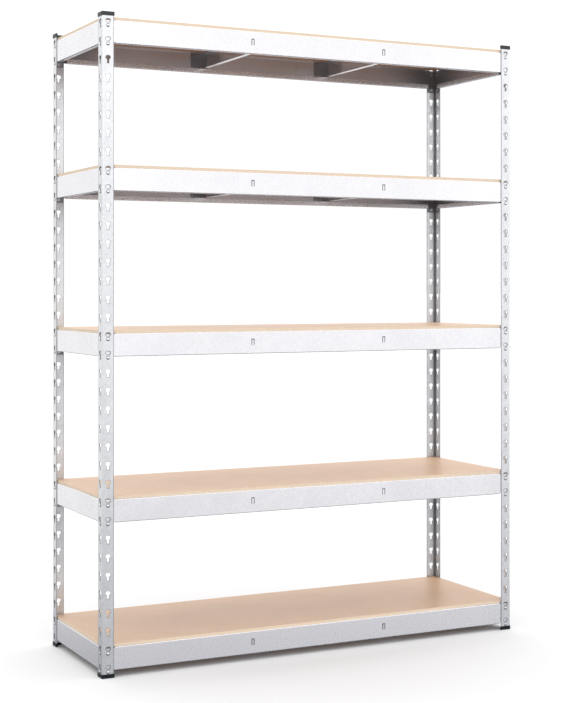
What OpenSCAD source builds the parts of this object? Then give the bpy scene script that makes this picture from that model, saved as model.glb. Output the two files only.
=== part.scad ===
/* [Rack] */
// Width over the outer faces of the posts
rack_w = 1328; // [900:1:2000]
// Depth over the outer faces of the posts
rack_d = 434; // [300:1:700]

/* [Posts] */
// Keyholes in each flange of a half post
holes_per_half = 18; // [14:1:24]
// Distance from one keyhole to the next
hole_pitch = 50; // [48:1:60]
// Distance from a half post's lower end to the middle of its first keyhole
hole_start = 22.5; // [20:0.5:30]
// Width of each flange of the angle
flange_w = 33; // [28:1:40]
// Thickness of the post's steel
post_t = 1.5; // [1:0.1:2]
// Outside radius of the post's fold
post_fold_r = 2; // [1.6:0.1:3]

/* [Keyholes and rivets] */
// Width of the keyhole's upper part, which lets a rivet head through
keyhole_w = 14.5; // [12.5:0.5:15]
// Height of the keyhole's upper part
keyhole_h = 11; // [10.5:0.5:12]
// Width of the slot that holds the rivet
slot_w = 6; // [6:0.1:6.5]
// Diameter of a rivet's shank
shank_d = 5.8; // [5:0.1:5.9]
// Diameter of a rivet's head
head_d = 10; // [9:0.1:10.4]
// Height of the rivet head's dome
head_h = 2.2; // [1.5:0.1:3]

/* [Beams] */
// Height of a beam
beam_h = 63; // [58:1:70]
// Thickness of the beam's steel
beam_t = 1; // [0.8:0.1:1.2]
// Outside radius of the beam's folds
beam_fold_r = 2; // [1.5:0.1:2.5]
// Width of the ledge that the board lies on
ledge_w = 15; // [12:1:20]
// Height of the turned-up lip on the bottom flange
lip_h = 13; // [8:1:16]
// Distance from the beam's top down to the middle of its upper keyhole
keyhole_drop = 8; // [5:0.5:9]

/* [Cross-bars] */
// Distance between the two slots in each long beam
slot_spacing = 428; // [300:2:600]
// Distance from a slot's middle to the web of its cross-bar
bar_offset = 42; // [20:1:60]
// Width of a cross-bar's flanges
bar_w = 16; // [12:1:24]
// Thickness of a cross-bar's steel
bar_t = 1.2; // [1:0.1:1.5]
// Height of the slot in the long beams
bar_slot_h = 18; // [14:1:24]
// Width of the slot in the long beams
bar_slot_w = 9.5; // [8:0.5:12]
// Width of the cross-bar's tongue in its slot
tongue_w = 5; // [3:0.5:7]

/* [Boards] */
// Thickness of a board
board_t = 8; // [6:1:12]
// Gap between a board's edge and the posts
board_gap = 3; // [2:0.5:4]

/* [Caps and feet] */
// Thickness of the plastic over and under a post
pad_t = 2; // [1.5:0.5:5]
// Thickness of the plastic walls round the post
wall_t = 1.6; // [1.2:0.1:1.8]
// Height of a cap or foot
cup_h = 11; // [10:0.5:16]
// Length of the foot's web along each flange
web_len = 29; // [20:1:32]

/* [Hidden] */
$fn = 48;

half_len = holes_per_half * hole_pitch;
first_hole_z = pad_t + hole_start;
rack_h = 2 * half_len + 2 * pad_t;

// Each level's lower keyhole, counted from the floor: the middle level bridges the two halves
middle_hole = holes_per_half - 1;
top_hole = 2 * holes_per_half - 2;
LEVEL_HOLES = [0, floor(middle_hole / 2), middle_hole, ceil((middle_hole + top_hole) / 2), top_hole];
LEVELS = [for (i = [0 : len(LEVEL_HOLES) - 1]) i + 1];

// A rivet rests on the round bottom of its slot, this far under the keyhole's middle
rivet_drop = 8;
keyhole_tail = rivet_drop + slot_w / 2;
keyhole_top = keyhole_tail;
hole_inset = flange_w / 2;

// Lug: the flat end of a beam's web, behind the post's flange
lug_gap = 5;
lug_edge = flange_w - 1;
lug_margin = 9;
notch_len = flange_w + 4;

rivet_hole_d = shank_d + 0.2;
tail_d = 8;
tail_h = 1.5;
head_r = (pow(head_d / 2, 2) + pow(head_h, 2)) / (2 * head_h);

// The slot's middle is this far above the beam's middle
slot_rise = 2;
slot_bottom = beam_h / 2 + slot_rise - bar_slot_h / 2;
tongue_gap = 0.3;
tongue_h = bar_slot_h - 3;

// A cross-bar clears the beam's lip and web by these gaps, and its ears reach past the slots
bar_lift = 2;
bar_free = 0.3;
bar_h = beam_h - lip_h - bar_lift;
ear_reach = 10;

inner_skirt_h = pad_t + 4;
board_inset = post_t + board_gap;
cut = 1;

STEEL = [0.86, 0.87, 0.89];
ZINC = [0.74, 0.75, 0.78];
BOARD = [0.87, 0.72, 0.57];
PLASTIC = [0.10, 0.13, 0.15];

// Name, whether it is on the right, whether it is at the back
CORNERS = [
    ["front_left", false, false],
    ["front_right", true, false],
    ["back_left", false, true],
    ["back_right", true, true]
];
HALVES = ["lower", "upper"];
SIDES = ["front", "back", "left", "right"];
BAR_SIDES = ["left", "right"];

function hole_z(index) = first_hole_z + index * hole_pitch;
function beam_top(n) = hole_z(LEVEL_HOLES[n - 1] + 1) + keyhole_drop;
function beam_bottom(n) = beam_top(n) - beam_h;
function rivet_z(n) = [for (i = [0, 1]) hole_z(LEVEL_HOLES[n - 1] + i) - rivet_drop];

// Puts its children at a corner, with x and y running inwards from the post's outer faces
module at_corner(right, back) {
    translate([(right ? 1 : -1) * rack_w / 2, (back ? 1 : -1) * rack_d / 2, 0])
        mirror([right ? 1 : 0, 0, 0])
            mirror([0, back ? 1 : 0, 0])
                children();
}

// Quarter of a tube's section: the fold between a strip along x and a strip along y
module fold(r, t) {
    intersection() {
        square([r, r]);
        translate([r, r])
            difference() {
                circle(r);
                circle(r - t);
            }
    }
}

// Section of the steel angle, its fold at the origin
module post_section() {
    fold(post_fold_r, post_t);
    translate([post_fold_r, 0]) square([flange_w - post_fold_r, post_t]);
    translate([0, post_fold_r]) square([post_t, flange_w - post_fold_r]);
}

// Outline of the plastic walls round the angle, inside and out
module cup_section() {
    cup_r = post_fold_r + wall_t;
    cup_w = flange_w + 2 * wall_t;
    cup_t = post_t + 2 * wall_t;
    translate([-wall_t, -wall_t]) {
        intersection() {
            square([cup_r, cup_r]);
            translate([cup_r, cup_r]) circle(cup_r);
        }
        translate([cup_r, 0]) square([cup_w - cup_r, cup_t]);
        translate([0, cup_r]) square([cup_t, cup_w - cup_r]);
    }
}

// Keyhole seen from outside the flange: a wide round-ended top over a narrow slot
module keyhole() {
    head_x = (keyhole_w - keyhole_h) / 2;
    head_y = keyhole_top - keyhole_h / 2;
    for (side = [-1, 1])
        translate([side * head_x, head_y]) circle(keyhole_h / 2);
    translate([-head_x, head_y - keyhole_h / 2]) square([2 * head_x, keyhole_h]);
    translate([-slot_w / 2, -rivet_drop]) square([slot_w, head_y + rivet_drop]);
    translate([0, -rivet_drop]) circle(slot_w / 2);
}

// Half a post at its corner: half 0 stands on the foot, half 1 on the lower half
module post_half(corner, half) {
    color(STEEL)
        at_corner(corner[1], corner[2])
            translate([0, 0, pad_t + half * half_len])
                difference() {
                    linear_extrude(half_len) post_section();
                    for (i = [0 : holes_per_half - 1]) {
                        translate([hole_inset, post_t + cut, hole_start + i * hole_pitch])
                            rotate([90, 0, 0])
                                linear_extrude(post_t + 2 * cut) keyhole();
                        translate([-cut, hole_inset, hole_start + i * hole_pitch])
                            rotate([90, 0, 90])
                                linear_extrude(post_t + 2 * cut) keyhole();
                    }
                }
}

// Plastic cap over the top of a post
module cap(corner) {
    color(PLASTIC)
        at_corner(corner[1], corner[2])
            translate([0, 0, rack_h - cup_h])
                difference() {
                    linear_extrude(cup_h) cup_section();
                    translate([0, 0, -cut])
                        linear_extrude(cup_h - pad_t + cut) post_section();
                }
}

// Plastic foot under a post: high walls outside, low walls and a web inside the angle
module foot(corner) {
    color(PLASTIC)
        at_corner(corner[1], corner[2])
            difference() {
                union() {
                    linear_extrude(cup_h)
                        difference() {
                            cup_section();
                            translate([post_t, post_t]) square(flange_w + cut);
                        }
                    linear_extrude(inner_skirt_h) cup_section();
                    linear_extrude(pad_t)
                        polygon([[0, 0], [web_len, 0], [0, web_len]]);
                }
                translate([0, 0, pad_t])
                    linear_extrude(cup_h) post_section();
            }
}

// Section of a beam: x inwards from the outer face of its web, y up from its bottom
module beam_section() {
    r = beam_fold_r;
    t = beam_t;
    translate([0, r]) square([t, beam_h - 2 * r]);
    fold(r, t);
    translate([r, 0]) square([ledge_w - 2 * r, t]);
    translate([ledge_w, 0]) mirror([1, 0]) fold(r, t);
    translate([ledge_w - t, r]) square([t, lip_h - r]);
    translate([0, beam_h]) mirror([0, 1]) fold(r, t);
    translate([r, beam_h - t]) square([ledge_w - r, t]);
}

// Flat end of a beam's web with its two rivet holes, x inwards from the post's outer corner
module lug_plate() {
    r = beam_fold_r;
    lower_z = beam_h - keyhole_drop - rivet_drop - hole_pitch;
    difference() {
        union() {
            translate([lug_gap, r]) square([notch_len - lug_gap + cut, beam_h - 2 * r]);
            translate([lug_gap, lower_z - lug_margin])
                square([lug_edge - lug_gap, lug_margin - lower_z + 2 * r]);
        }
        for (i = [0, 1])
            translate([hole_inset, lower_z + i * hole_pitch]) circle(d = rivet_hole_d);
    }
}

// A beam that spans the given width over the posts, along x, its web's outer face at y = 0
module beam(span, slotted) {
    color(STEEL)
        difference() {
            union() {
                translate([-span / 2 + notch_len, 0, 0])
                    rotate([90, 0, 90])
                        linear_extrude(span - 2 * notch_len) beam_section();
                for (end = [0, 1])
                    mirror([end, 0, 0])
                        translate([-span / 2, beam_t, 0])
                            rotate([90, 0, 0])
                                linear_extrude(beam_t) lug_plate();
            }
            if (slotted)
                for (side = [-1, 1])
                    translate([side * slot_spacing / 2 - bar_slot_w / 2, -cut, slot_bottom])
                        cube([bar_slot_w, beam_t + 2 * cut, bar_slot_h]);
        }
}

// The beam of one side and level, where it hangs in the posts
module placed_beam(side, n) {
    z = beam_bottom(n);
    if (side == "front")
        translate([0, -rack_d / 2 + post_t, z]) beam(rack_w, true);
    if (side == "back")
        translate([0, rack_d / 2 - post_t, z]) rotate([0, 0, 180]) beam(rack_w, true);
    if (side == "left")
        translate([-rack_w / 2 + post_t, 0, z]) rotate([0, 0, -90]) beam(rack_d, false);
    if (side == "right")
        translate([rack_w / 2 - post_t, 0, z]) rotate([0, 0, 90]) beam(rack_d, false);
}

// Section of a cross-bar: a channel open to the left, x from its slot's middle, y up from its bottom
module bar_section() {
    r = beam_fold_r;
    translate([bar_offset, 0])
        mirror([1, 0]) {
            translate([0, r]) square([bar_t, bar_h - 2 * r]);
            fold(r, bar_t);
            translate([r, 0]) square([bar_w - r, bar_t]);
            translate([0, bar_h]) mirror([0, 1]) fold(r, bar_t);
            translate([r, bar_h - bar_t]) square([bar_w - r, bar_t]);
        }
}

// Plan of a cross-bar's end: the web runs under the beam's ledge and folds into an ear along its web
module bar_end_plan(channel_end, ear_face) {
    r = beam_fold_r;
    translate([bar_offset - bar_t, channel_end - cut]) square([bar_t, ear_face - r - channel_end + cut]);
    translate([bar_offset, ear_face]) rotate(180) fold(r, bar_t);
    translate([-ear_reach, ear_face - bar_t]) square([ear_reach + bar_offset - r, bar_t]);
}

// One end of a cross-bar, with the tongue on its ear that fills the slot as far as the beam's face
module bar_end() {
    beam_face = rack_d / 2 - post_t;
    ear_face = beam_face - beam_t - bar_free;
    channel_end = beam_face - ledge_w - bar_free;
    translate([0, 0, lip_h + bar_lift])
        linear_extrude(bar_h - beam_fold_r) bar_end_plan(channel_end, ear_face);
    translate([-tongue_w / 2, ear_face - bar_t / 2, slot_bottom + tongue_gap])
        cube([tongue_w, beam_face - ear_face + bar_t / 2, tongue_h]);
}

// A cross-bar that spans from the front beam to the back beam at one level
module cross_bar(side, n) {
    channel_len = rack_d - 2 * (post_t + ledge_w + bar_free);
    color(STEEL)
        translate([side * slot_spacing / 2, 0, beam_bottom(n)]) {
            translate([0, channel_len / 2, lip_h + bar_lift])
                rotate([90, 0, 0])
                    linear_extrude(channel_len) bar_section();
            bar_end();
            mirror([0, 1, 0]) bar_end();
        }
}

// A loose board on the ledges of one level
module board(n) {
    board_w = rack_w - 2 * board_inset;
    board_d = rack_d - 2 * board_inset;
    color(BOARD)
        translate([-board_w / 2, -board_d / 2, beam_top(n)])
            cube([board_w, board_d, board_t]);
}

// A rivet with its head outwards along z, the post's outer face at z = 0
module rivet() {
    grip = post_t + beam_t;
    rotate_extrude() {
        translate([0, -grip - tail_h]) square([tail_d / 2, tail_h]);
        translate([0, -grip - cut / 2]) square([shank_d / 2, grip + cut]);
        intersection() {
            square([head_d / 2, head_h]);
            translate([0, head_h - head_r]) circle(head_r);
        }
    }
}

// The sixteen rivets of one level, two at each end of each beam
module rivets(n) {
    color(ZINC)
        for (c = CORNERS)
            at_corner(c[1], c[2])
                for (z = rivet_z(n)) {
                    translate([hole_inset, 0, z]) rotate([90, 0, 0]) rivet();
                    translate([0, hole_inset, z]) rotate([0, -90, 0]) rivet();
                }
}

for (c = CORNERS)
    for (h = [0, 1])
        post_half(c, h);
for (c = CORNERS) {
    cap(c);
    foot(c);
}
for (n = LEVELS) {
    for (s = SIDES)
        placed_beam(s, n);
    cross_bar(-1, n);
    cross_bar(1, n);
    board(n);
    rivets(n);
}
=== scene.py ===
import logging
import math
from collections.abc import Callable, Sequence
from dataclasses import dataclass, field
from enum import Enum
from functools import partial

import bmesh
import bpy
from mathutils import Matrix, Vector


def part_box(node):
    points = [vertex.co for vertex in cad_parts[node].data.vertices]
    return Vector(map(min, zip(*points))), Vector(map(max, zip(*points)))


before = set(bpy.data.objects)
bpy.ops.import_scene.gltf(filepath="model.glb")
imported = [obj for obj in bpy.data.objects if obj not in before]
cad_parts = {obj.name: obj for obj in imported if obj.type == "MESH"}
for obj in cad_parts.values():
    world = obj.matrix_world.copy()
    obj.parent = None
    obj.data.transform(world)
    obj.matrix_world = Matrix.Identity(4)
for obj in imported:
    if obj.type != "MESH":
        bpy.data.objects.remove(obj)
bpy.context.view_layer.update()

LOG = logging.getLogger("boltless_shelving")
MM = 0.001
SAME_POINT = 0.005 * MM
SHARP_EDGE = math.radians(40)
ROUND_FACETS = 2

Colour = tuple[float, float, float]
Point = tuple[float, float, float]


class Axis(Enum):
    """The direction in which a strip of steel was rolled, as an index of its coordinate."""

    X = 0
    Y = 1
    Z = 2


class Wire:
    """One output of a material's node, used in an expression as a number would be."""

    def __init__(self, graph: "Graph", socket: bpy.types.NodeSocket) -> None:
        """Keeps the socket and the graph that new nodes go into.

        Args:
            graph: The material's graph.
            socket: The output socket.
        """
        self.graph = graph
        self.socket = socket

    def math(self, operation: str, *values: "Wire | float") -> "Wire":
        """Adds a Math node whose first input is this output.

        Args:
            operation: The Math node's operation.
            values: Its other inputs, in order.

        Returns:
            The node's result.
        """
        return self.graph.arithmetic(operation, self, *values)

    def __add__(self, other: "Wire | float") -> "Wire":
        """Adds."""
        return self.math("ADD", other)

    def __radd__(self, other: float) -> "Wire":
        """Adds, with the number first."""
        return self.graph.arithmetic("ADD", other, self)

    def __sub__(self, other: "Wire | float") -> "Wire":
        """Subtracts."""
        return self.math("SUBTRACT", other)

    def __rsub__(self, other: float) -> "Wire":
        """Subtracts from a number."""
        return self.graph.arithmetic("SUBTRACT", other, self)

    def __mul__(self, other: "Wire | float") -> "Wire":
        """Multiplies."""
        return self.math("MULTIPLY", other)

    def __rmul__(self, other: float) -> "Wire":
        """Multiplies, with the number first."""
        return self.graph.arithmetic("MULTIPLY", other, self)

    def __truediv__(self, other: "Wire | float") -> "Wire":
        """Divides."""
        return self.math("DIVIDE", other)

    def __rtruediv__(self, other: float) -> "Wire":
        """Divides a number."""
        return self.graph.arithmetic("DIVIDE", other, self)

    def __abs__(self) -> "Wire":
        """Drops the sign."""
        return self.math("ABSOLUTE")

    def highest(self, other: "Wire | float") -> "Wire":
        """Takes the larger of two values."""
        return self.math("MAXIMUM", other)

    def lowest(self, other: "Wire | float") -> "Wire":
        """Takes the smaller of two values."""
        return self.math("MINIMUM", other)

    def beside(self, other: "Wire | float") -> "Wire":
        """Takes the length of the step that the two values make at right angles."""
        return (self * self + other * other).math("SQRT")

    def rise(self, low: float, high: float) -> "Wire":
        """Climbs smoothly from 0 at low to 1 at high, or falls if low is the larger.

        Args:
            low: Where the result is 0.
            high: Where the result is 1.

        Returns:
            The smooth step.
        """
        up = high > low
        step = self.graph.node(
            "ShaderNodeMapRange",
            {"interpolation_type": "SMOOTHSTEP", "clamp": True},
            {"Value": self, "From Min": min(low, high), "From Max": max(low, high)},
        )
        return step if up else 1.0 - step


Value = Wire | float
Shade = Callable[[Wire], Wire]


class Graph:
    """The node graph of one material or of the sky."""

    def __init__(self, tree: bpy.types.NodeTree) -> None:
        """Keeps the tree that the nodes go into.

        Args:
            tree: The node tree.
        """
        self.tree = tree

    @staticmethod
    def find(sockets: bpy.types.bpy_prop_collection, key: str | int) -> bpy.types.NodeSocket:
        """Finds a socket by its place, its identifier or its name.

        Args:
            sockets: A node's inputs or outputs.
            key: The place, identifier or name.

        Returns:
            The socket.
        """
        if isinstance(key, int):
            return sockets[key]
        named = [s for s in sockets if s.identifier == key]
        return named[0] if named else sockets[key]

    def feed(self, socket: bpy.types.NodeSocket, value: Value | Sequence[float]) -> None:
        """Links a wire to an input, or sets the input's own value.

        Args:
            socket: The input.
            value: A wire, a number, a vector or a colour.
        """
        if isinstance(value, Wire):
            self.tree.links.new(value.socket, socket)
        elif isinstance(value, (int, float)):
            socket.default_value = value
        else:
            room = len(socket.default_value)
            socket.default_value = (*value, 1.0) if len(value) < room else value

    def node(
        self,
        kind: str,
        settings: dict[str, object] | None = None,
        sockets: dict[str | int, Value | Sequence[float]] | None = None,
        output: str | int = 0,
    ) -> Wire:
        """Adds one node of any type.

        Args:
            kind: The node's type.
            settings: Its own settings, set first.
            sockets: Its inputs' values or wires, by place, identifier or name.
            output: The output wanted.

        Returns:
            The wanted output.
        """
        made = self.tree.nodes.new(kind)
        for key, value in (settings or {}).items():
            setattr(made, key, value)
        for key, value in (sockets or {}).items():
            self.feed(self.find(made.inputs, key), value)
        return Wire(self, self.find(made.outputs, output))

    def arithmetic(self, operation: str, *values: Value) -> Wire:
        """Adds a Math node.

        Args:
            operation: The node's operation.
            values: Its inputs, in order.

        Returns:
            The node's result.
        """
        return self.node("ShaderNodeMath", {"operation": operation}, dict(enumerate(values)))

    def vector(
        self, operation: str, first: Wire, second: Wire | Point, output: str | int = 0
    ) -> Wire:
        """Adds a Vector Math node.

        Args:
            operation: The node's operation.
            first: Its first input.
            second: Its second input.
            output: The output wanted.

        Returns:
            The wanted output.
        """
        values = {0: first, 1: second}
        return self.node("ShaderNodeVectorMath", {"operation": operation}, values, output)

    def place(self, origin: Point = (0.0, 0.0, 0.0)) -> Wire:
        """Gives the point on the surface, in metres from an origin in the row frame."""
        return self.vector("SUBTRACT", self.node("ShaderNodeTexCoord", output="Object"), origin)

    def stretch(self, point: Wire, scale: Point) -> Wire:
        """Scales a point or a colour along each of its axes."""
        return self.vector("MULTIPLY", point, scale)

    def split(self, point: Wire) -> tuple[Wire, Wire, Wire]:
        """Splits a point into its three coordinates."""
        parts = self.node("ShaderNodeSeparateXYZ", sockets={0: point})
        return tuple(Wire(self, s) for s in parts.socket.node.outputs)

    def noise(
        self, point: Wire, scale: float, detail: float = 2.0, roughness: float = 0.5
    ) -> Wire:
        """Gives soft noise from 0 to 1.

        Args:
            point: Where it is looked up.
            scale: Lumps per metre.
            detail: How many finer layers it holds.
            roughness: How strong the finer layers are.

        Returns:
            The noise.
        """
        sockets = {"Vector": point, "Scale": scale, "Detail": detail, "Roughness": roughness}
        return self.node("ShaderNodeTexNoise", sockets=sockets, output="Fac")

    def cells(self, point: Wire, scale: float) -> Wire:
        """Gives each cell of a crystal pattern its own value from 0 to 1.

        Args:
            point: Where it is looked up.
            scale: Cells per metre.

        Returns:
            The cell's value.
        """
        sockets = {"Vector": point, "Scale": scale}
        colour = self.node("ShaderNodeTexVoronoi", {"feature": "F1"}, sockets, output="Color")
        return self.node("ShaderNodeSeparateColor", sockets={0: colour}, output=0)

    def blend(self, share: Value, low: Wire | Colour, high: Wire | Colour) -> Wire:
        """Mixes two colours.

        Args:
            share: How much of the second colour there is.
            low: The first colour.
            high: The second colour.

        Returns:
            The mixed colour.
        """
        sockets = {"Factor_Float": share, "A_Color": low, "B_Color": high}
        return self.node("ShaderNodeMix", {"data_type": "RGBA"}, sockets, output="Result_Color")


class Finish(Graph):
    """The node graph of one material, ending in one Principled shader."""

    def __init__(self, name: str) -> None:
        """Makes an empty material.

        Args:
            name: The material's name.
        """
        self.material = bpy.data.materials.new(name)
        self.material.use_nodes = True
        super().__init__(self.material.node_tree)
        self.tree.nodes.clear()
        self.shader = self.tree.nodes.new("ShaderNodeBsdfPrincipled")
        output = self.tree.nodes.new("ShaderNodeOutputMaterial")
        self.tree.links.new(self.shader.outputs["BSDF"], output.inputs["Surface"])

    def complete(
        self, height: Wire | None = None, depth: float = 0.0, **sockets: Value | Colour
    ) -> bpy.types.Material:
        """Feeds the shader.

        Args:
            height: The relief, from 0 to 1, if the finish has any.
            depth: How deep the relief is, in metres.
            sockets: The shader's inputs, with _ for a space.

        Returns:
            The finished material.
        """
        for key, value in sockets.items():
            self.feed(self.shader.inputs[key.replace("_", " ")], value)
        if height is not None:
            relief = {"Strength": 1.0, "Distance": depth, "Height": height}
            bumps = self.node("ShaderNodeBump", sockets=relief, output="Normal")
            self.feed(self.shader.inputs["Normal"], bumps)
        return self.material


@dataclass(frozen=True)
class Punching:
    """The keyholes in a post's flanges, each a wide head over a narrow slot."""

    half_width: float
    half_depth: float
    first: float
    inset: float
    pitch: float = 50.0 * MM
    head_width: float = 14.5 * MM
    head_height: float = 11.0 * MM
    slot_width: float = 6.0 * MM
    reach: float = 11.0 * MM

    def along(self, point: Wire) -> Wire:
        """Gives the distance from the post's fold along whichever flange a point is on."""
        x, y, _ = point.graph.split(point)
        return (self.half_width - abs(x)).highest(self.half_depth - abs(y))

    def distance(self, point: Wire) -> Wire:
        """Gives the distance from the nearest keyhole's edge.

        Args:
            point: The point in the row frame.

        Returns:
            The distance in metres, less than 0 inside the keyhole.
        """
        _, _, z = point.graph.split(point)
        side = abs(self.along(point) - self.inset)
        up = (((z - self.first) / self.pitch + 0.5).math("FRACT") - 0.5) * self.pitch
        radius = self.head_height / 2
        flat = (self.head_width - self.head_height) / 2
        head = (side - flat).highest(0.0).beside(up - (self.reach - radius)) - radius
        slot = (side - self.slot_width / 2).highest(abs(up) - self.reach)
        return head.lowest(slot)


@dataclass(frozen=True)
class GalvanisedSteel:
    """Zinc-coated sheet: faint crystals, fine rolling lines, dull smears, darkened edges and painted
    shade in hollows.
    """

    name: str
    grain: Axis
    bright: Colour = (0.915, 0.905, 0.925)
    dull: Colour = (0.81, 0.805, 0.83)
    # The colour that painted shade, and the darkened free edges of the posts, go towards.
    painted_shade_colour: Colour = (0.105, 0.125, 0.155)
    crystal: float = 9.0 * MM
    fine_crystals: float = 2.6
    lines_across: float = 900.0
    lines_along: float = 7.0
    smears_per_metre: float = 9.0
    specks_per_metre: float = 420.0
    mottle: float = 1.0
    roughness: float = 0.21
    metal: float = 0.82
    relief_depth: float = 0.012 * MM

    def rolling_lines(self, graph: Finish, point: Wire) -> Wire:
        """Draws the fine lines that the rolls left along the grain.

        Args:
            graph: The material's graph.
            point: The point on the piece.

        Returns:
            The lines, from 0 to 1.
        """
        scale = [self.lines_across] * 3
        scale[self.grain.value] = self.lines_along
        return graph.noise(graph.stretch(point, tuple(scale)), 1.0, 3.0, 0.6)

    def crystals(self, graph: Finish, point: Wire) -> Wire:
        """Draws the zinc's crystals in two sizes.

        Args:
            graph: The material's graph.
            point: The point on the piece.

        Returns:
            The crystals, from 0 to 1.
        """
        coarse = graph.cells(point, 1.0 / self.crystal)
        fine = graph.cells(point, self.fine_crystals / self.crystal)
        return coarse * 0.6 + fine * 0.4

    def material(self, label: str, origin: Point, shade: Shade) -> bpy.types.Material:
        """Makes the finish of one piece.

        Args:
            label: The piece's name.
            origin: The piece's own origin, which also shifts its pattern.
            shade: Gives how much the steel is darkened at a point of the row frame, from 0 to 1,
                mostly by painted shade.

        Returns:
            The material.
        """
        graph = Finish(f"{self.name}_{label}")
        point = graph.place(origin)
        rolled = self.rolling_lines(graph, point)
        crystals = self.crystals(graph, point)
        smears = graph.noise(point, self.smears_per_metre, 4.0, 0.55)
        specks = graph.noise(point, self.specks_per_metre, 2.0, 0.5).rise(0.62, 0.76)
        spots = crystals * 0.34 + smears.rise(0.35, 0.75) * 0.3 + specks * 0.2
        colour = graph.blend(spots * self.mottle + rolled * 0.15, self.bright, self.dull)
        # Painted shade from the piece's shade function, blended towards the shade colour and made
        # rougher.
        painted_shade = shade(graph.place())
        colour = graph.blend(painted_shade * (0.85 + rolled * 0.3), colour, self.painted_shade_colour)
        rough = self.roughness + crystals * 0.04 + smears * 0.08 + (rolled - 0.5) * 0.05
        return graph.complete(
            height=rolled * 0.45 + crystals * 0.18 + specks * 0.1,
            depth=self.relief_depth,
            Base_Color=colour,
            Roughness=rough + painted_shade * 0.25,
            Metallic=self.metal,
            Specular_IOR_Level=0.5,
        )


@dataclass(frozen=True)
class ZincRivet:
    """Bright zinc on a headed rivet, with a faint orange-peel, scuffed crowns and painted shade round
    the rim.
    """

    name: str = "zinc_rivet"
    bright: Colour = (0.86, 0.865, 0.875)
    scuffed: Colour = (0.62, 0.63, 0.65)
    # The colour of the painted shade where the head meets the post's face.
    rim_shade: Colour = (0.12, 0.125, 0.135)
    rim_shade_top: tuple[float, float] = (1.4 * MM, 0.5 * MM)
    rim_shade_foot: tuple[float, float] = (-0.4 * MM, -0.1 * MM)
    peel_per_metre: float = 700.0
    scuffs_per_metre: float = 520.0
    relief_depth: float = 0.08 * MM

    def material(self, label: str, origin: Point, proud: Shade) -> bpy.types.Material:
        """Makes the finish of one group of rivets.

        Args:
            label: The group's name.
            origin: The point that shifts its pattern.
            proud: Gives how far a point stands out of the post's face, in metres.

        Returns:
            The material.
        """
        graph = Finish(f"{self.name}_{label}")
        point = graph.place(origin)
        peel = graph.noise(point, self.peel_per_metre, 2.0, 0.5)
        drawn = graph.stretch(point, (1.0, 1.0, 0.3))
        scuffs = graph.noise(drawn, self.scuffs_per_metre, 4.0, 0.7).rise(0.45, 0.7)
        colour = graph.blend(scuffs * 0.7 + peel * 0.2, self.bright, self.scuffed)
        height = proud(graph.place())
        # Painted shade: a dark ring at the foot of the head.
        rim_shade = height.rise(*self.rim_shade_top) * height.rise(*self.rim_shade_foot)
        return graph.complete(
            height=peel * 0.6 + scuffs * 0.4,
            depth=self.relief_depth,
            Base_Color=graph.blend(rim_shade, colour, self.rim_shade),
            Roughness=0.27 + scuffs * 0.22,
            Metallic=0.9,
        )


@dataclass(frozen=True)
class FibreBoard:
    """Sanded wood-fibre board: tan felted fibres on its faces, paler and coarser sawn edges."""

    name: str = "fibre_board"
    # Painted light: scales the faces' colour for the light and sheen of the board's level.
    painted_light_tone: float = 1.0
    face: Colour = (0.67, 0.425, 0.255)
    face_dark: Colour = (0.555, 0.34, 0.19)
    fleck: Colour = (0.80, 0.62, 0.47)
    pit: Colour = (0.33, 0.215, 0.125)
    edge: Colour = (0.96, 0.79, 0.61)
    edge_dark: Colour = (0.78, 0.61, 0.44)
    fibre: Point = (260.0, 900.0, 900.0)
    cross_fibre: Point = (900.0, 300.0, 900.0)
    layer: Point = (90.0, 90.0, 1500.0)
    clouds_per_metre: float = 7.0
    flecks_per_metre: float = 330.0
    pits_per_metre: float = 540.0
    crumbs_per_metre: float = 1100.0
    bends_per_metre: float = 60.0
    bend: float = 6.0 * MM
    relief_depth: float = 0.09 * MM

    def bent(self, graph: Finish, point: Wire) -> Wire:
        """Shifts a point to and fro, so that the fibres don't run straight.

        Args:
            graph: The material's graph.
            point: The point on the board.

        Returns:
            The shifted point.
        """
        sockets = {"Vector": point, "Scale": self.bends_per_metre}
        wander = graph.node("ShaderNodeTexNoise", sockets=sockets, output="Color")
        return graph.vector("ADD", point, graph.stretch(wander, (self.bend,) * 3))

    def material(self, label: str, centre: Point) -> bpy.types.Material:
        """Makes the finish of one board.

        Args:
            label: The board's name.
            centre: The board's middle.

        Returns:
            The material.
        """
        graph = Finish(f"{self.name}_{label}")
        point = graph.place(centre)
        _, _, up = graph.split(graph.node("ShaderNodeNewGeometry", output="Normal"))
        sawn = abs(up).rise(0.75, 0.35)
        clouds = graph.noise(point, self.clouds_per_metre, 4.0, 0.6).rise(0.3, 0.7)
        bent = self.bent(graph, point)
        fibres = graph.noise(graph.stretch(bent, self.fibre), 1.0, 4.0, 0.7)
        cross_fibres = graph.noise(graph.stretch(bent, self.cross_fibre), 1.0, 3.0, 0.7)
        felt = fibres * 0.55 + cross_fibres * 0.45
        flecks = graph.noise(bent, self.flecks_per_metre, 3.0, 0.6).rise(0.60, 0.72)
        pits = graph.noise(bent, self.pits_per_metre, 2.0, 0.5).rise(0.66, 0.74)
        face = graph.blend(felt.rise(0.34, 0.66) * 0.5 + clouds * 0.4, self.face, self.face_dark)
        # Painted light: the face colour is scaled lighter or darker for the board's level.
        face = graph.stretch(graph.blend(flecks * 0.45, face, self.fleck), (self.painted_light_tone,) * 3)
        face = graph.blend(pits * 0.5, face, self.pit)
        layers = graph.noise(graph.stretch(point, self.layer), 1.0, 3.0, 0.6)
        crumbs = graph.noise(point, self.crumbs_per_metre, 2.0, 0.6)
        side = graph.blend(layers * 0.6 + crumbs * 0.5, self.edge, self.edge_dark)
        return graph.complete(
            height=felt * 0.35 - pits * 0.5 + (layers + crumbs) * sawn * 0.8,
            depth=self.relief_depth,
            Base_Color=graph.blend(sawn, face, side),
            Roughness=0.33 + felt * 0.10 + pits * 0.1 + sawn * 0.3,
            Specular_IOR_Level=0.6,
        )


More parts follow.
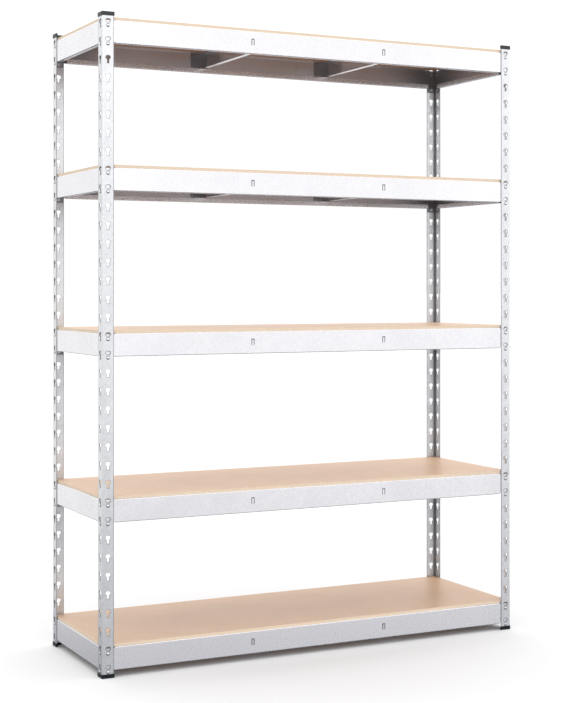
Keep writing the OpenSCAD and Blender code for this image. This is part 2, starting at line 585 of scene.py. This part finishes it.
@dataclass(frozen=True)
class MouldedPlastic:
    """Black moulded plastic: a fine spark-eroded grain with scuffs that have greyed."""

    name: str = "black_plastic"
    base: Colour = (0.003, 0.006, 0.010)
    greyed: Colour = (0.03, 0.037, 0.045)
    gloss: float = 0.25
    grain_per_metre: float = 1500.0
    scuffs_per_metre: float = 160.0
    flow_per_metre: float = 40.0
    relief_depth: float = 0.06 * MM

    def material(self, label: str, origin: Point) -> bpy.types.Material:
        """Makes the finish of one moulding.

        Args:
            label: The moulding's name.
            origin: The point that shifts its pattern.

        Returns:
            The material.
        """
        graph = Finish(f"{self.name}_{label}")
        point = graph.place(origin)
        grain = graph.noise(point, self.grain_per_metre, 2.0, 0.5)
        rubbed = graph.stretch(point, (1.0, 1.0, 2.5))
        scuffs = graph.noise(rubbed, self.scuffs_per_metre, 5.0, 0.7).rise(0.56, 0.74)
        flow = graph.noise(point, self.flow_per_metre, 3.0, 0.5)
        grey = scuffs * 0.6 + flow * 0.12 + grain * 0.08
        return graph.complete(
            height=grain * 0.6 + scuffs * 0.25,
            depth=self.relief_depth,
            Base_Color=graph.blend(grey, self.base, self.greyed),
            Roughness=0.40 + grain * 0.12 + scuffs * 0.2,
            Specular_IOR_Level=self.gloss,
        )


@dataclass(frozen=True)
class StudioFloor:
    """A plain pale floor with the faintest mottle."""

    name: str = "studio_floor"
    pale: Colour = (0.795, 0.795, 0.797)
    mottled: Colour = (0.787, 0.787, 0.790)

    def material(self) -> bpy.types.Material:
        """Makes the floor's finish.

        Returns:
            The material.
        """
        graph = Finish(self.name)
        mottle = graph.noise(graph.place(), 3.0, 3.0, 0.5)
        return graph.complete(
            Base_Color=graph.blend(mottle, self.pale, self.mottled),
            Roughness=0.7,
            Specular_IOR_Level=0.1,
        )


def dress(node: bpy.types.Object, material: bpy.types.Material) -> None:
    """Gives every material slot of a piece one material.

    Args:
        node: The piece.
        material: Its finish.
    """
    if not node.material_slots:
        node.data.materials.append(material)
    for slot in node.material_slots:
        slot.material = material


def soften(node: bpy.types.Object, width: float) -> None:
    """Rounds a CAD node's sharp edges without touching its mesh.

    Args:
        node: The CAD node.
        width: How wide the rounding is, in metres.
    """
    weld = node.modifiers.new("weld", "WELD")
    weld.merge_threshold = SAME_POINT
    bevel = node.modifiers.new("round_edges", "BEVEL")
    bevel.width = width
    bevel.segments = ROUND_FACETS
    bevel.limit_method = "ANGLE"
    bevel.angle_limit = SHARP_EDGE
    bevel.harden_normals = True
    bevel.use_clamp_overlap = True


@dataclass
class Rack:
    """What every sub-assembly shares: the names' parts and the measures, most read from the frame."""

    corners: tuple[str, ...] = ("front_left", "front_right", "back_left", "back_right")
    halves: tuple[str, ...] = ("lower", "upper")
    levels: tuple[int, ...] = (1, 2, 3, 4, 5)
    hole_start: float = 22.5 * MM
    half_width: float = field(init=False)
    half_depth: float = field(init=False)
    flange: float = field(init=False)
    foot_thick: float = field(init=False)

    def __post_init__(self) -> None:
        """Reads the measures from a lower half post's box."""
        low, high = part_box("post_front_left_lower")
        self.half_width = -low.x
        self.half_depth = -low.y
        self.flange = high.x - low.x
        self.foot_thick = low.z

    def punching(self) -> Punching:
        """Gives the keyholes' pattern."""
        first = self.foot_thick + self.hole_start
        return Punching(self.half_width, self.half_depth, first, self.flange / 2)


@dataclass
class Posts:
    """The four angle posts, each in two halves.

    In each pair of distances, a darkening starts at the first and is full at the second; most of it
    is painted shade.
    """

    rack: Rack
    # The flanges' free edges are darkened over a narrow band.
    free_edge_band: tuple[float, float] = (2.6 * MM, 0.8 * MM)
    free_edge_dark: float = 0.65
    # Painted shade round each keyhole on the post's face, and on the keyhole's walls, which are
    # darkened as bare cut steel and painted shade.
    rim_shade: tuple[float, float] = (1.9 * MM, 0.3 * MM)
    rim_shade_strength: float = 0.24
    wall: tuple[float, float] = (0.3 * MM, 0.1 * MM)
    past_face: tuple[float, float] = (1.1 * MM, 1.4 * MM)
    # Painted shade on the post's inner faces, deepest in the fold.
    fold_shade: tuple[float, float] = (11.0 * MM, 5.0 * MM)
    fold_shade_strength: float = 0.62
    inside_shade: float = 0.08
    steel: GalvanisedSteel = GalvanisedSteel(
        "galvanised_post",
        Axis.Z,
        bright=(0.84, 0.845, 0.855),
        dull=(0.60, 0.61, 0.63),
        mottle=1.3,
        roughness=0.22,
    )

    def shade(self, point: Wire) -> Wire:
        """Paints shade round the keyholes and inside the fold, darkens the keyholes' walls as bare
        cut steel and painted shade, and darkens the flanges' free edges.

        Args:
            point: The point in the row frame.

        Returns:
            How much the steel is darkened, mostly by painted shade.
        """
        rack = self.rack
        punching = rack.punching()
        along = punching.along(point)
        free = along.rise(*(rack.flange - inset for inset in self.free_edge_band))
        x, y, _ = point.graph.split(point)
        inside = (rack.half_width - abs(x)).lowest(rack.half_depth - abs(y)).rise(*self.past_face)
        gap = punching.distance(point)
        # Painted shade round the keyholes, with their walls darkened as bare cut steel and painted
        # shade.
        keyhole_shade = (gap.rise(*self.rim_shade) * self.rim_shade_strength).highest(gap.rise(*self.wall))
        # Painted shade inside the fold.
        fold = inside * (along.rise(*self.fold_shade) * self.fold_shade_strength + self.inside_shade)
        return keyhole_shade.highest(free * self.free_edge_dark).highest(fold)

    def build(self) -> None:
        """Dresses the halves."""
        for corner in self.rack.corners:
            for half in self.rack.halves:
                name = f"post_{corner}_{half}"
                origin = tuple(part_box(name)[0])
                dress(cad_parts[name], self.steel.material(f"{corner}_{half}", origin, self.shade))
                LOG.info("dressed %s", name)


@dataclass
class Beams:
    """The four beams of each level and the two cross-bars under its board.

    In each pair of distances, a painted shade starts at the first and is full at the second. Those of
    the sides, ends and faces are measured inwards from the posts' outer faces.
    """

    rack: Rack
    slot_width: float = 9.5 * MM
    slot_height: float = 18.0 * MM
    slot_spacing: float = 428.0 * MM
    slot_drop: float = 29.5 * MM
    # Painted shade on the slots' walls.
    slot_wall: tuple[float, float] = (0.4 * MM, 0.1 * MM)
    slot_side: tuple[float, float] = (1.5 * MM, 1.7 * MM)
    # Painted shade on the web's inner face, deepest near the posts, and on the lugs behind the
    # keyholes, deepest round their edges.
    outer_side: tuple[float, float] = (2.1 * MM, 1.8 * MM)
    inner_side: tuple[float, float] = (2.2 * MM, 2.5 * MM)
    web_end: tuple[float, float] = (7.0 * MM, 4.0 * MM)
    web_shade: float = 0.14
    corner: tuple[float, float] = (260.0 * MM, 10.0 * MM)
    corner_shade: float = 0.58
    ring: tuple[float, float] = (-3.2 * MM, -0.4 * MM)
    ring_shade: float = 0.5
    lug_shade: float = 0.06
    lug_fade: float = 1.0 * MM
    # Painted shade on the cross-bars' ears, full on the face behind the slot.
    ear_front: tuple[float, float] = (1.5 * MM, 1.8 * MM)
    ear_face: tuple[float, float] = (2.9 * MM, 3.2 * MM)
    ear_end: tuple[float, float] = (9.0 * MM, 4.5 * MM)
    ear_shade: float = 0.72
    along_x: GalvanisedSteel = GalvanisedSteel("galvanised_beam", Axis.X)
    along_y: GalvanisedSteel = GalvanisedSteel("galvanised_beam", Axis.Y)
    bar: GalvanisedSteel = GalvanisedSteel("galvanised_bar", Axis.Y, roughness=0.10)

    def web_and_lug_shade(self, point: Wire, inward: Wire) -> Wire:
        """Paints shade on the inside of a beam's web, and on its lugs round the rivets, behind the
        keyholes.

        Args:
            point: The point in the row frame.
            inward: How far the point is inwards from the rack's outer face.

        Returns:
            How much painted shade falls on the steel.
        """
        punching = self.rack.punching()
        along = punching.along(point)
        inside = inward.rise(*self.inner_side) * inward.rise(*self.web_end)
        under_post = along.rise(self.rack.flange, self.rack.flange - self.lug_fade)
        lug = under_post * inward.rise(*self.outer_side)
        ring = punching.distance(point).rise(*self.ring)
        web = inside * (self.web_shade + along.rise(*self.corner) * self.corner_shade)
        return web.highest(lug * (self.lug_shade + ring * self.ring_shade))

    def shade_short(self, point: Wire) -> Wire:
        """Paints shade on a beam that runs across the depth."""
        x, _, _ = point.graph.split(point)
        return self.web_and_lug_shade(point, self.rack.half_width - abs(x))

    def shade_long(self, top: float, point: Wire) -> Wire:
        """Paints shade on a beam along the width, which has two slots, and on the slots' walls.

        Args:
            top: The beam's top, in metres from the floor.
            point: The point in the row frame.

        Returns:
            How much painted shade falls on the steel.
        """
        x, y, z = point.graph.split(point)
        inward = self.rack.half_depth - abs(y)
        side = abs(abs(x) - self.slot_spacing / 2) - self.slot_width / 2
        edge = side.highest(abs(z - (top - self.slot_drop)) - self.slot_height / 2)
        wall = edge.rise(*self.slot_wall) * inward.rise(*self.slot_side)
        return self.web_and_lug_shade(point, inward).highest(wall)

    def shade_bar(self, point: Wire) -> Wire:
        """Paints shade on a cross-bar's ears, most on the face behind the slot, but not on its
        tongues.

        Args:
            point: The point in the row frame.

        Returns:
            How much painted shade falls on the steel.
        """
        _, y, _ = point.graph.split(point)
        inward = self.rack.half_depth - abs(y)
        near, far = self.ear_face
        behind = inward.rise(*self.ear_front) * inward.rise(far, near)
        ear = inward.rise(near, far) * inward.rise(*self.ear_end)
        return behind.highest(ear * self.ear_shade)

    def build(self) -> None:
        """Dresses the beams and cross-bars."""
        for level in self.rack.levels:
            for side in ("front", "back"):
                name = f"beam_{side}_{level}"
                self.dress_one(name, self.along_x, partial(self.shade_long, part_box(name)[1].z))
            for side in ("left", "right"):
                self.dress_one(f"beam_{side}_{level}", self.along_y, self.shade_short)
                self.dress_one(f"cross_bar_{side}_{level}", self.bar, self.shade_bar)

    def dress_one(self, name: str, steel: GalvanisedSteel, shade: Shade) -> None:
        """Dresses one strip of folded steel.

        Args:
            name: The node's name.
            steel: Its finish.
            shade: Gives how dark it has gone at a point.
        """
        dress(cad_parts[name], steel.material(name, tuple(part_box(name)[0]), shade))
        LOG.info("dressed %s", name)


@dataclass
class Boards:
    """The five loose boards, whose faces are scaled lighter or darker to paint the light and sheen of
    each level.
    """

    rack: Rack
    round_edge: float = 0.6 * MM
    # Painted light and shade per level: board 3, seen edge-on, is lightest for its sheen.
    painted_light_tones: tuple[float, ...] = (0.93, 1.05, 1.16, 1.0, 1.0)

    def build(self) -> None:
        """Rounds and dresses the boards."""
        for level, painted_light_tone in zip(self.rack.levels, self.painted_light_tones):
            name = f"board_{level}"
            low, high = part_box(name)
            soften(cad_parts[name], self.round_edge)
            dress(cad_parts[name], FibreBoard(painted_light_tone=painted_light_tone).material(name, tuple((low + high) / 2)))
            LOG.info("dressed %s", name)


@dataclass
class Rivets:
    """The rivets that hang the beams in the keyholes, in one group for each level."""

    rack: Rack
    zinc: ZincRivet = ZincRivet()

    def proud(self, point: Wire) -> Wire:
        """Gives how far a point stands out of the posts' outer faces."""
        x, y, _ = point.graph.split(point)
        return (abs(x) - self.rack.half_width).highest(abs(y) - self.rack.half_depth)

    def build(self) -> None:
        """Dresses the rivets."""
        for level in self.rack.levels:
            name = f"rivets_{level}"
            dress(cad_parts[name], self.zinc.material(name, tuple(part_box(name)[0]), self.proud))
            LOG.info("dressed %s", name)


@dataclass
class EndFittings:
    """The plastic caps on top of the posts and the feet under them."""

    rack: Rack
    round_edge: float = 0.7 * MM
    # Painted light: the caps get a paler, glossier copy of the plastic, whose paler colour paints the
    # light on their tops.
    painted_light_plastic: MouldedPlastic = MouldedPlastic(
        base=(0.018, 0.022, 0.026), greyed=(0.07, 0.075, 0.08), gloss=0.5
    )
    plain_plastic: MouldedPlastic = MouldedPlastic()

    def build(self) -> None:
        """Rounds and dresses the caps and feet."""
        for corner in self.rack.corners:
            for kind, plastic in (("cap", self.painted_light_plastic), ("foot", self.plain_plastic)):
                name = f"{kind}_{corner}"
                soften(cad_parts[name], self.round_edge)
                dress(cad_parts[name], plastic.material(name, tuple(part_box(name)[0])))
                LOG.info("dressed %s", name)


@dataclass(frozen=True)
class SoftBox:
    """One rectangular studio light."""

    name: str
    place: Point
    aim: Point
    width: float
    height: float
    power: float

    def build(self) -> None:
        """Hangs the light and turns it to its aim."""
        lamp = bpy.data.lights.new(self.name, "AREA")
        lamp.shape = "RECTANGLE"
        lamp.size = self.width
        lamp.size_y = self.height
        lamp.energy = self.power
        holder = bpy.data.objects.new(self.name, lamp)
        holder.location = self.place
        direction = Vector(self.aim) - Vector(self.place)
        holder.rotation_euler = direction.to_track_quat("-Z", "Y").to_euler()
        bpy.context.scene.collection.objects.link(holder)


@dataclass
class Studio:
    """The pale floor, the soft light and the camera."""

    floor_size: float = 400.0
    ground: Colour = (0.19, 0.20, 0.235)
    front: Colour = (1.11, 1.11, 1.12)
    behind: Colour = (1.01, 1.01, 1.01)
    zenith: Colour = (1.7, 1.7, 1.7)
    front_to_back: tuple[float, float] = (-0.5, 0.3)
    dusk: tuple[float, float] = (-0.26, -0.16)
    lift: tuple[float, float] = (0.3, 0.9)
    overhead: Point = (0.1, 0.3, 0.95)
    eye: Point = (-2.0263, -4.0689, 1.0588)
    turn: float = math.radians(26.619)
    focal: float = 76.91
    rise: float = -0.0920
    lights: tuple[SoftBox, ...] = (
        SoftBox("key", (-0.9, -4.4, 2.4), (0.0, 0.0, 1.1), width=3.0, height=2.4, power=26.0),
        SoftBox("fill", (3.4, -2.5, 2.0), (0.0, 0.0, 0.9), width=1.8, height=2.2, power=6.0),
    )

    def build(self) -> None:
        """Builds the floor, the sky, the lights and the camera."""
        self.build_floor()
        self.build_sky()
        for light in self.lights:
            light.build()
        self.build_camera()
        bpy.context.scene.view_settings.view_transform = "Standard"

    def build_floor(self) -> None:
        """Lays the floor under the feet."""
        mesh = bpy.data.meshes.new("studio_floor")
        shell = bmesh.new()
        bmesh.ops.create_grid(shell, x_segments=1, y_segments=1, size=self.floor_size / 2)
        shell.to_mesh(mesh)
        shell.free()
        floor = bpy.data.objects.new("studio_floor", mesh)
        bpy.context.scene.collection.objects.link(floor)
        dress(floor, StudioFloor().material())
        floor.visible_diffuse = False
        floor.visible_glossy = False
        floor.visible_shadow = False

    def build_sky(self) -> None:
        """Lights the room from all round, most from overhead and least from below."""
        world = bpy.data.worlds.new("studio_sky")
        world.use_nodes = True
        graph = Graph(world.node_tree)
        look = graph.node("ShaderNodeTexCoord", output="Generated")
        _, back, up = graph.split(look)
        glow = graph.vector("DOT_PRODUCT", look, self.overhead, "Value")
        horizon = graph.blend(back.rise(*self.front_to_back), self.front, self.behind)
        shade = graph.blend(up.rise(*self.dusk), self.ground, horizon)
        shade = graph.blend(glow.rise(*self.lift), shade, self.zenith)
        graph.feed(world.node_tree.nodes["Background"].inputs["Color"], shade)
        bpy.context.scene.world = world

    def build_camera(self) -> None:
        """Stands the camera in front, to the left, at chest height."""
        lens = bpy.data.cameras.new("camera")
        lens.lens = self.focal
        lens.shift_y = self.rise
        camera = bpy.data.objects.new("camera", lens)
        camera.location = self.eye
        camera.rotation_euler = (math.pi / 2, 0.0, -self.turn)
        bpy.context.scene.collection.objects.link(camera)
        bpy.context.scene.camera = camera


def main() -> None:
    """Builds every part of the scene in order."""
    logging.basicConfig(level=logging.INFO, format="%(message)s")
    rack = Rack()
    for group in (Studio(), Posts(rack), Beams(rack), Boards(rack), Rivets(rack), EndFittings(rack)):
        group.build()
        LOG.info("built %s", type(group).__name__)


if __name__ == "__main__":
    main()
